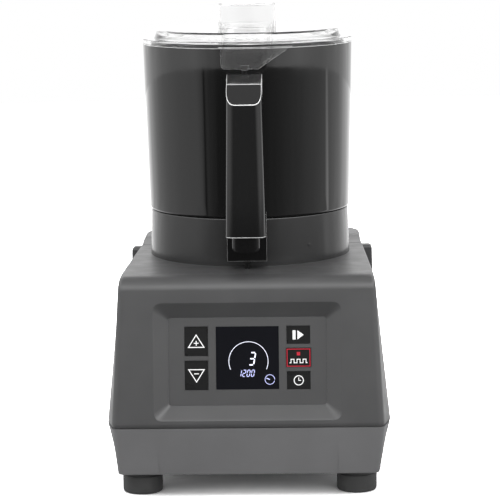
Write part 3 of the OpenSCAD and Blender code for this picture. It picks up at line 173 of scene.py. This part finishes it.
def cast(name, tint, roughness=0.45):
    """Die-cast or pressed metal with a pebbly skin."""
    f = Finish(name, roughness, metallic=1.0)
    f.paint(0.008, colour(0.8, tint), colour(1.0, tint))
    f.polish(0.004, roughness - 0.1, roughness + 0.12)
    f.relief(0.0015, 0.0001)
    return f.material


def polished_bowl():
    """Dark polished skin with very fine upright lines and a few faint wipe marks."""
    f = Finish("bowl polish", 0.06, ior=1.55)
    f.paint(0.004, colour(0.0012), colour(0.0022), stretch=(1, 1, 0.02))
    f.polish(0.03, 0.02, 0.045, stretch=(1, 1, 0.15))
    f.relief(0.0016, 0.000001, stretch=(1, 1, 0.01), detail=1.0)
    return f.material


def clear(name, grey, roughness, ior):
    """Clear moulded plastic with a few fine scuffs."""
    f = Finish(name, roughness, ior=ior)
    f.shader.inputs["Transmission Weight"].default_value = 1.0
    f.shader.inputs["Coat Weight"].default_value = 0.8
    f.shader.inputs["Coat Roughness"].default_value = 0.04
    f.shader.inputs["Coat IOR"].default_value = 1.45
    f.paint(0.02, colour(grey * 0.985), colour(grey))
    f.polish(0.01, max(roughness - 0.01, 0.005), roughness + 0.03)
    f.relief(0.02, 0.00003, detail=1.0)
    return f.material


def glow(name, rgb, strength):
    """A glowing figure, dim towards the dark gaps between its dots: lit on the display, and a painted glow on the
    keys' white ink.
    """
    f = Finish(name, 0.4)
    f.shader.inputs["Base Color"].default_value = (*rgb, 1)
    f.shader.inputs["Emission Strength"].default_value = strength
    dots = f.spread(f.noise(0.0004, detail=0.0), 0.3, 0.7, 0, 1)
    dim = tuple(0.82 * c for c in rgb)
    f.link(f.blend(dots, (*dim, 1), (*rgb, 1)), f.shader.inputs["Emission Color"])
    return f.material


def printed(name, rgb):
    """Printed ink on a key: flat, slightly mottled."""
    f = Finish(name, 0.5)
    f.paint(0.001, (*[0.9 * c for c in rgb], 1), (*rgb, 1))
    f.relief(0.0005, 0.00001)
    return f.material


def board_green():
    """Circuit board: solder mask with copper lines showing through."""
    f = Finish("circuit board", 0.35)
    f.paint(0.003, (0.006, 0.07, 0.03, 1), (0.015, 0.14, 0.06, 1), stretch=(1, 0.1, 1),
            low=0.48, high=0.52)
    f.relief(0.003, 0.00004, stretch=(1, 0.1, 1))
    return f.material


def copper_winding():
    """Lacquered copper wire wound in rings."""
    f = Finish("copper winding", 0.35, metallic=1.0)
    f.paint(0.0012, (0.5, 0.2, 0.08, 1), (0.75, 0.34, 0.15, 1), stretch=(0.1, 0.1, 1))
    f.relief(0.0012, 0.0003, stretch=(0.1, 0.1, 1))
    return f.material


finishes = {
    "housing_plastic": moulded("housing plastic", 0.062, 0.4),
    "tray_plastic": moulded("tray plastic", 0.15, 0.5),
    "collar_plastic": moulded("collar plastic", 0.009, 0.24, grain=0.0005, depth=0.000006,
                              wander=0.02),
    "panel_film": moulded("panel film", 0.06, 0.45, grain=0.0004, depth=0.00001),
    "foot_rubber": rubber("foot rubber", 0.05),
    "seal_rubber": rubber("seal rubber", 0.02),
    "lid_rubber": rubber("lid rubber", 0.6, 0.4),
    "black_plastic": moulded("black plastic", 0.01, 0.35),
    "handle_plastic": moulded("handle plastic", 0.006, 0.09, grain=0.0005, depth=0.000003,
                              ior=1.42, wander=0.02),
    "bowl_gloss": polished_bowl(),
    "clear_plastic": clear("clear plastic", 0.965, 0.02, ior=1.13),
    "display_lens": moulded("display lens", 0.008, 0.08, grain=0.002, depth=0.000002,
                            tint=(0.9, 0.95, 1.3), ior=1.22, wander=0.02),
    "display_glow": moulded("display backing", 0.02, 0.3, tint=(0.7, 0.8, 1.6)),
    "key_film": moulded("key film", 0.013, 0.3, grain=0.0004, depth=0.000008, ior=1.25),
    "circuit_board": board_green(),
    "cast_aluminium": cast("cast aluminium", (0.55, 0.56, 0.58)),
    "winding": copper_winding(),
    "rotor_iron": turned_steel("rotor iron", 0.35, 0.4),
    "knife_steel": turned_steel("knife steel", 0.62, 0.22, stretch=(8, 1, 1)),
    "black_steel": turned_steel("blackened steel", 0.02, 0.35),
    "steel": turned_steel("turned steel", 0.55, 0.3),
}


# Pieces

def finish_piece(mesh, name, body, material):
    """Object of a mesh, with its material, riding on its body."""
    mesh.materials.clear()
    mesh.materials.append(material)
    piece = bpy.data.objects.new(name, mesh)
    bpy.context.scene.collection.objects.link(piece)
    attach(piece, body)
    return piece


def smooth_by_angle(bm, degrees):
    """Every face smooth, and every edge sharper than that angle left sharp."""
    limit = math.radians(degrees)
    for face in bm.faces:
        face.smooth = True
    for edge in bm.edges:
        edge.smooth = len(edge.link_faces) == 2 and edge.calc_face_angle(0) < limit


def rim_and_painted_highlight(name, grey, ior, roughness=0.12):
    """Rim finish for a moulding's rounded edges, a little uneven in colour and gloss; given a pale grey, it is a
    painted highlight along the edge.
    """
    f = Finish(name, roughness, ior=ior)
    f.paint(0.006, colour(grey * 0.8), colour(grey))
    f.polish(0.01, roughness - 0.04, roughness + 0.06)
    f.relief(0.0006, 0.000003)
    return f.material


# Pale rims on the black and the clear mouldings are painted highlights; the dull rim keeps the moulding's dark
# colour.
pale_edge_painted_highlight = rim_and_painted_highlight("black rim", 0.85, 2.2, 0.2)
dull_rim = rim_and_painted_highlight("dull black rim", 0.02, 1.9, 0.2)
clear_edge_painted_highlight = rim_and_painted_highlight("clear rim", 0.95, 1.5)

# Widths of the rounded edges, and the rim finish on them: the pale rims on the handle's front, the rod guide and
# the lid are painted highlights
edges = {"handle_front_shell": (0.48 * MM, pale_edge_painted_highlight), "handle_back_shell": (0.8 * MM, dull_rim),
         "handle_rail": (0.6 * MM, dull_rim), "rod_guide": (0.8 * MM, pale_edge_painted_highlight),
         "collar_ring": (0.5 * MM, dull_rim), "lid": (0.6 * MM, clear_edge_painted_highlight),
         "filler_cap": (0.2 * MM, None), "base_tray": (0.6 * MM, None)}


def merged(node, degrees=32):
    """A merged and smoothed copy of a CAD node, which then stands for it."""
    bm = bmesh.new()
    bm.from_mesh(nodes[node].data)
    bmesh.ops.remove_doubles(bm, verts=bm.verts, dist=0.004 * MM)
    bmesh.ops.dissolve_limit(bm, angle_limit=math.radians(0.5), verts=bm.verts,
                             edges=bm.edges, delimit={"NORMAL"})
    smooth_by_angle(bm, degrees)
    mesh = bpy.data.meshes.new(node + "_skin")
    bm.to_mesh(mesh)
    bm.free()
    piece = finish_piece(mesh, node + "_skin", body_of[node], finishes[slot_of[node]])
    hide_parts(node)
    if node in edges:
        width, rim = edges[node]
        rounded = piece.modifiers.new("rounded edges", "BEVEL")
        rounded.width = width
        rounded.segments = 3
        rounded.limit_method = "ANGLE"
        rounded.angle_limit = math.radians(degrees)
        rounded.use_clamp_overlap = node != "handle_front_shell"
        if rim:
            mesh.materials.append(rim)
            rounded.material = 1
    even = piece.modifiers.new("even normals", "WEIGHTED_NORMAL")
    even.keep_sharp = True
    even.weight = 80
    return piece


plain_nodes = {"display_window", "display_module", "control_board", "key_switches",
               "interlock_switch", "switch_bracket", "motor_controller"}
for name, obj in nodes.items():
    if name in plain_nodes:
        obj.data.materials.clear()
        obj.data.materials.append(finishes[slot_of[name]])
    else:
        merged(name)


# Figures and signs, drawn on the panel

window_low, window_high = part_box("display_window")
window_centre = (window_low + window_high) / 2
# The panel's plane passes through the front face of the window
window_half_t = 1.0 * MM
panel_origin = window_centre - panel_in * window_half_t


def on_panel(x, up, out=0.0):
    """Point at x across, up the panel, and out of it, from the window's middle."""
    return panel_origin + Vector((x, 0, 0)) + panel_up * up - panel_in * out


def flat_path(bm, points, width, closed=False):
    """Flat line of a width along points of the panel, in x and up, with mitred corners."""
    least_share = 0.4
    count = len(points)
    pairs = []
    for i, p in enumerate(points):
        before = points[i - 1] if closed or i > 0 else p
        after = points[(i + 1) % count] if closed or i < count - 1 else p
        d1 = Vector(p) - Vector(before)
        d2 = Vector(after) - Vector(p)
        d1 = d1.normalized() if d1.length > 0 else d2.normalized()
        d2 = d2.normalized() if d2.length > 0 else d1
        mid = (d1 + d2).normalized()
        side = Vector((-mid.y, mid.x))
        reach = width / 2 / max(abs(side.dot(Vector((-d1.y, d1.x)))), least_share)
        pairs.append((Vector(p) - side * reach, Vector(p) + side * reach))
    verts = [[bm.verts.new((q.x, q.y, 0)) for q in pair] for pair in pairs]
    last = count if closed else count - 1
    for i in range(last):
        a, b = verts[i], verts[(i + 1) % count]
        bm.faces.new((a[0], b[0], b[1], a[1]))


def arc_points(x, up, radius, start, end, steps=40):
    """Points of an arc between two bearings in degrees, from the right and leftwards."""
    return [(x + radius * math.cos(math.radians(start + (end - start) * i / steps)),
             up + radius * math.sin(math.radians(start + (end - start) * i / steps)))
            for i in range(steps + 1)]


def on_face_sign(bm, name, body, material, out, thick=0.06 * MM):
    """The flat drawing in bm, given a small thickness and set on the panel."""
    bmesh.ops.recalc_face_normals(bm, faces=bm.faces)
    for face in bm.faces:
        if face.normal.z < 0:
            face.normal_flip()
    grown = bmesh.ops.extrude_face_region(bm, geom=bm.faces[:])
    tops = [g for g in grown["geom"] if isinstance(g, bmesh.types.BMVert)]
    bmesh.ops.translate(bm, verts=tops, vec=(0, 0, thick))
    bmesh.ops.recalc_face_normals(bm, faces=bm.faces)
    turn = Matrix(((1, 0, 0), (0, panel_up.y, -panel_in.y), (0, panel_up.z, -panel_in.z)))
    start = on_panel(0, 0, out)
    bmesh.ops.transform(bm, matrix=Matrix.Translation(start) @ turn.to_4x4(), verts=bm.verts)
    mesh = bpy.data.meshes.new(name)
    bm.to_mesh(mesh)
    bm.free()
    return finish_piece(mesh, name, body, material)


# Segments of a digit, as strokes between corners of a box one wide and two high
SEGMENTS = {"a": ((0, 2), (1, 2)), "b": ((1, 2), (1, 1)), "c": ((1, 1), (1, 0)),
            "d": ((1, 0), (0, 0)), "e": ((0, 0), (0, 1)), "f": ((0, 1), (0, 2)),
            "g": ((0, 1), (1, 1))}
DIGITS = {"0": "abcdef", "1": "bc", "2": "abged", "3": "abgcd"}


def digit(bm, which, x, up, height, width, stroke):
    """Leaning digit whose lower left corner is at x and up."""
    slant = 0.18
    trim = 0.12
    for name in DIGITS[which]:
        (x0, y0), (x1, y1) = SEGMENTS[name]
        dx, dy = (x1 - x0), (y1 - y0)
        ends = []
        for sx, sy in ((x0 + dx * trim, y0 + dy * trim), (x1 - dx * trim, y1 - dy * trim)):
            ends.append((x + sx * width + slant * sy * height / 2, up + sy * height / 2))
        flat_path(bm, ends, stroke)


lit = glow("lit figures", (0.85, 0.87, 1.0), 0.95)
lit_dim = glow("lit small figures", (0.55, 0.58, 0.95), 0.8)
# The white signs on the keys are ink made to glow: a painted glow.
key_ink_painted_glow = glow("key ink painted glow", (0.88, 0.88, 0.88), 0.35)
red_ink = printed("red ink", (0.62, 0.01, 0.035))

# The display: an arc round a large digit, four small digits and a small dial
figure_out = 0.02 * MM
arc_middle = (1.0 * MM, -3.5 * MM)
dial_middle = (22.2 * MM, -21.8 * MM)
small_pitch = 4.3 * MM
bm = bmesh.new()
flat_path(bm, arc_points(*arc_middle, 19.6 * MM, 204, -24), 0.5 * MM)
digit(bm, "3", 1.2 * MM, -7.0 * MM, 12.2 * MM, 4.9 * MM, 1.25 * MM)
on_face_sign(bm, "display_arc_and_digit", "housing", lit, figure_out)
bm = bmesh.new()
for i, which in enumerate("1200"):
    digit(bm, which, -9.5 * MM + small_pitch * i, -18.6 * MM, 6.4 * MM, 2.6 * MM, 0.75 * MM)
flat_path(bm, arc_points(*dial_middle, 4.8 * MM, 0, 345, 32), 0.5 * MM)
flat_path(bm, [dial_middle, (18.8 * MM, -20.4 * MM)], 0.9 * MM)
on_face_sign(bm, "display_small_figures", "housing", lit_dim, figure_out)


def key_middle(name):
    """Middle of a key's front, in x and up from the window's middle."""
    low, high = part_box(name)
    middle = (low + high) / 2 - panel_origin
    return middle.x, middle.dot(panel_up)


def triangle(x, up, size, sign):
    """Flat triangle that points up or down, round its middle."""
    h = size * 0.79
    return [(x - size / 2, up - sign * h / 3), (x, up + sign * h * 2 / 3),
            (x + size / 2, up - sign * h / 3)]


# Speed keys: a plus in a triangle that points up, a minus in one that points down
key_out = 0.42 * MM
line = 0.95 * MM
arm = 2.4 * MM
for name, sign in (("key_speed_up", 1), ("key_speed_down", -1)):
    x, up = key_middle(name)
    up -= sign * 1.75 * MM
    bm = bmesh.new()
    flat_path(bm, triangle(x, up, 15.6 * MM, sign), line, closed=True)
    flat_path(bm, [(x - arm, up), (x + arm, up)], line)
    if sign > 0:
        flat_path(bm, [(x, up - arm), (x, up + arm)], line)
    on_face_sign(bm, name + "_sign", body_of[name], key_ink_painted_glow, key_out)

# Start key: a bar and a filled triangle
x, up = key_middle("key_start")
half_h = 4.6 * MM
bar_x = x - 4.2 * MM
bm = bmesh.new()
flat_path(bm, [(bar_x, up - half_h), (bar_x, up + half_h)], 3.0 * MM)
bm.faces.new([bm.verts.new(p) for p in ((x - 0.9 * MM, up - half_h, 0),
                                        (x + 5.4 * MM, up, 0),
                                        (x - 0.9 * MM, up + half_h, 0))])
on_face_sign(bm, "key_start_sign", body_of["key_start"], key_ink_painted_glow, key_out)

# Stop and pulse key: a red frame with a red block, over a white square wave
x, up = key_middle("key_stop")
half_w, half_h = 11.4 * MM, 8.5 * MM
line = 0.8 * MM
block = 1.7 * MM
bm = bmesh.new()
flat_path(bm, [(x - half_w, up - half_h), (x + half_w, up - half_h),
               (x + half_w, up + half_h), (x - half_w, up + half_h)], line, closed=True)
flat_path(bm, [(x - block, up + 3.9 * MM), (x + block, up + 3.9 * MM)], 2 * block)
on_face_sign(bm, "key_stop_frame", body_of["key_stop"], red_ink, key_out)
bm = bmesh.new()
step, high = 3.0 * MM, 3.6 * MM
low_up = up - 5.2 * MM
wave = [(x - 3 * step, low_up)]
for i in range(3):
    start = x + (2 * i - 2.5) * step
    wave += [(start, low_up), (start, low_up + high), (start + step, low_up + high),
             (start + step, low_up)]
wave.append((x + 3 * step, low_up))
flat_path(bm, wave, line)
on_face_sign(bm, "key_stop_wave", body_of["key_stop"], key_ink_painted_glow, key_out)

# Timer key: a clock
x, up = key_middle("key_timer")
bm = bmesh.new()
flat_path(bm, arc_points(x, up, 4.6 * MM, 0, 360, 40)[:-1], 0.9 * MM, closed=True)
flat_path(bm, [(x, up + 2.8 * MM), (x, up), (x + 2.2 * MM, up)], 0.8 * MM)
on_face_sign(bm, "key_timer_sign", body_of["key_timer"], key_ink_painted_glow, key_out)


# Floor, light and camera

# The round floor; reflections see it dark straight in front, where a studio is unlit
floor_radius = 3.96
floor_y = 0.4
bm = bmesh.new()
bmesh.ops.create_circle(bm, cap_ends=True, segments=128, radius=floor_radius)
bmesh.ops.translate(bm, verts=bm.verts, vec=(0, floor_y, 0))
mesh = bpy.data.meshes.new("floor")
bm.to_mesh(mesh)
bm.free()
floor = bpy.data.objects.new("floor", mesh)
bpy.context.scene.collection.objects.link(floor)


def stepped(tree, share, steps):
    """Grey that follows a number from 0 to 1 through pairs of place and value."""
    ramp = tree.nodes.new("ShaderNodeValToRGB")
    places = ramp.color_ramp
    for i, (at, value) in enumerate(steps):
        stop = places.elements[i] if i < 2 else places.elements.new(at)
        stop.position = at
        stop.color = (value, value, value, 1)
    tree.links.new(share, ramp.inputs[0])
    return ramp.outputs["Color"]


def bearing(tree, vector, steps):
    """Grey that follows the bearing of a vector, in degrees: 0 is in front, 90 to the right."""
    apart = tree.nodes.new("ShaderNodeSeparateXYZ")
    tree.links.new(vector, apart.inputs[0])
    back = tree.nodes.new("ShaderNodeMath")
    back.operation = "MULTIPLY"
    back.inputs[1].default_value = -1
    tree.links.new(apart.outputs["Y"], back.inputs[0])
    turn = tree.nodes.new("ShaderNodeMath")
    turn.operation = "ARCTAN2"
    tree.links.new(apart.outputs["X"], turn.inputs[0])
    tree.links.new(back.outputs[0], turn.inputs[1])
    share = tree.nodes.new("ShaderNodeMapRange")
    share.inputs["From Min"].default_value = -math.pi
    share.inputs["From Max"].default_value = math.pi
    tree.links.new(turn.outputs[0], share.inputs["Value"])
    return stepped(tree, share.outputs[0], [(at / 360 + 0.5, value) for at, value in steps])


floor_material = bpy.data.materials.new("pale floor")
floor_material.use_nodes = True
tree = floor_material.node_tree
tree.nodes.clear()
out = tree.nodes.new("ShaderNodeOutputMaterial")
cloth = tree.nodes.new("ShaderNodeBsdfDiffuse")
cloth.inputs["Color"].default_value = (0.8, 0.8, 0.8, 1)
# What the camera sees of the floor: the lamps' shadows fall on it, and an ambient-occlusion ramp darkens its
# colour under and around the machine, a painted shadow, and lifts it above white elsewhere.
bright = tree.nodes.new("ShaderNodeBsdfDiffuse")
shade = tree.nodes.new("ShaderNodeAmbientOcclusion")
shade.inputs["Distance"].default_value = 0.06
floor_painted_shadow = tree.nodes.new("ShaderNodeMapRange")
for key, number in (("From Min", 0.1), ("From Max", 0.6), ("To Min", 0.8), ("To Max", 4.0)):
    floor_painted_shadow.inputs[key].default_value = number
tree.links.new(shade.outputs["AO"], floor_painted_shadow.inputs["Value"])
tree.links.new(floor_painted_shadow.outputs["Result"], bright.inputs["Color"])
mirror = tree.nodes.new("ShaderNodeEmission")
where = tree.nodes.new("ShaderNodeTexCoord")
studio_steps = [(-180, 1.75), (-150, 1.7), (-137, 1.35), (-116, 0.95), (-87, 0.97),
                (-57, 0.97), (-49.5, 0.65), (-48.5, 0.12), (-47, 0.12), (-46, 0.42),
                (-30, 0.16), (0, 0.1), (16, 0.16), (34, 0.27), (54, 0.42), (75, 0.62),
                (96, 0.75), (98, 2.0), (100, 2.0), (102, 0.9), (116, 1.0), (137, 1.5),
                (164, 1.75), (180, 1.75)]
tree.links.new(bearing(tree, where.outputs["Object"], studio_steps), mirror.inputs["Color"])
path = tree.nodes.new("ShaderNodeLightPath")
seen = tree.nodes.new("ShaderNodeMixShader")
plain = tree.nodes.new("ShaderNodeMixShader")
tree.links.new(path.outputs["Is Glossy Ray"], seen.inputs[0])
tree.links.new(path.outputs["Is Camera Ray"], plain.inputs[0])
tree.links.new(cloth.outputs[0], plain.inputs[1])
tree.links.new(bright.outputs[0], plain.inputs[2])
tree.links.new(plain.outputs[0], seen.inputs[1])
tree.links.new(mirror.outputs[0], seen.inputs[2])
tree.links.new(seen.outputs[0], out.inputs["Surface"])
floor.data.materials.append(floor_material)

world = bpy.data.worlds.new("studio")
bpy.context.scene.world = world
world.use_nodes = True
tree = world.node_tree
tree.nodes.clear()
out = tree.nodes.new("ShaderNodeOutputWorld")
soft = tree.nodes.new("ShaderNodeBackground")
soft.inputs["Color"].default_value = (1, 1, 1, 1)
soft.inputs["Strength"].default_value = 0.4
white = tree.nodes.new("ShaderNodeBackground")
white.inputs["Color"].default_value = (1, 1, 1, 1)
panel = tree.nodes.new("ShaderNodeBackground")
where = tree.nodes.new("ShaderNodeTexCoord")
wall_steps = [(-180, 1.25), (-120, 1.25), (-90, 1.3), (-60, 1.8), (0, 1.7), (30, 2.4),
              (45, 2.4), (70, 1.6), (100, 1.3), (130, 1.25), (180, 1.25)]
low_steps = [(-180, 1.25), (-90, 1.3), (-60, 1.6), (-40, 1.2), (-14, 0.35), (14, 0.35),
             (34, 1.4), (60, 1.8), (90, 1.3), (180, 1.25)]
direction = where.outputs["Generated"]
apart = tree.nodes.new("ShaderNodeSeparateXYZ")
tree.links.new(direction, apart.inputs[0])


# A dark opening straight in front at eye height, and a bright strip high up
walls = tree.nodes.new("ShaderNodeMix")
walls.data_type = "RGBA"
height_steps = [(0, 0), (0.15, 0), (0.35, 1)]
tree.links.new(stepped(tree, apart.outputs["Z"], height_steps), walls.inputs["Factor"])
tree.links.new(bearing(tree, direction, low_steps), walls.inputs["A"])
tree.links.new(bearing(tree, direction, wall_steps), walls.inputs["B"])
tree.links.new(walls.outputs["Result"], panel.inputs["Color"])
strip_steps = [(0, 1), (0.42, 1), (0.54, 2.9), (0.7, 2.9), (0.8, 0.7)]
tree.links.new(stepped(tree, apart.outputs["Z"], strip_steps), panel.inputs["Strength"])
path = tree.nodes.new("ShaderNodeLightPath")
direct = tree.nodes.new("ShaderNodeMath")
direct.operation = "MAXIMUM"
tree.links.new(path.outputs["Is Camera Ray"], direct.inputs[0])
tree.links.new(path.outputs["Is Transmission Ray"], direct.inputs[1])
first = tree.nodes.new("ShaderNodeMixShader")
second = tree.nodes.new("ShaderNodeMixShader")
tree.links.new(path.outputs["Is Glossy Ray"], first.inputs[0])
tree.links.new(soft.outputs[0], first.inputs[1])
tree.links.new(panel.outputs[0], first.inputs[2])
tree.links.new(direct.outputs[0], second.inputs[0])
tree.links.new(first.outputs[0], second.inputs[1])
tree.links.new(white.outputs[0], second.inputs[2])
tree.links.new(second.outputs[0], out.inputs["Surface"])


def soft_box(name, place, aim, width, height, watts):
    """Rectangular lamp at a place, facing a point."""
    lamp = bpy.data.lights.new(name, "AREA")
    lamp.shape = "RECTANGLE"
    lamp.size = width
    lamp.size_y = height
    lamp.energy = watts
    holder = bpy.data.objects.new(name, lamp)
    bpy.context.scene.collection.objects.link(holder)
    holder.location = place
    holder.rotation_euler = (Vector(aim) - Vector(place)).to_track_quat("-Z", "Y").to_euler()
    holder.visible_glossy = False
    return holder


aim = (0, 0, 0.25)
soft_box("front box", (0.3, -3.6, 1.6), aim, 3.0, 1.6, 42)
soft_box("left box", (-3.0, -0.6, 1.4), aim, 2.2, 2.2, 30)
soft_box("right box", (3.0, -0.6, 1.4), aim, 2.2, 2.2, 30)
soft_box("top box", (0, 0.2, 3.0), aim, 2.4, 2.4, 26)

camera_place = Vector((64.7, -2385.5, 593.28)) * MM
camera_yaw = math.radians(-1.568)
camera_pitch = math.radians(8.856)
camera_roll = math.radians(-0.863)
ahead = Vector((math.sin(camera_yaw) * math.cos(camera_pitch),
                math.cos(camera_yaw) * math.cos(camera_pitch), -math.sin(camera_pitch)))
level = Vector((math.cos(camera_yaw), -math.sin(camera_yaw), 0))
above = level.cross(ahead)
across = math.cos(camera_roll) * level + math.sin(camera_roll) * above
upright = -math.sin(camera_roll) * level + math.cos(camera_roll) * above
lens = bpy.data.cameras.new("camera")
lens.sensor_width = 36
lens.lens = 2259 / 500 * 36
lens.clip_end = 100
camera = bpy.data.objects.new("camera", lens)
bpy.context.scene.collection.objects.link(camera)
camera.matrix_world = Matrix((
    (across.x, upright.x, -ahead.x, camera_place.x),
    (across.y, upright.y, -ahead.y, camera_place.y),
    (across.z, upright.z, -ahead.z, camera_place.z),
    (0, 0, 0, 1)))
bpy.context.scene.camera = camera
bpy.context.scene.view_settings.view_transform = "Standard"
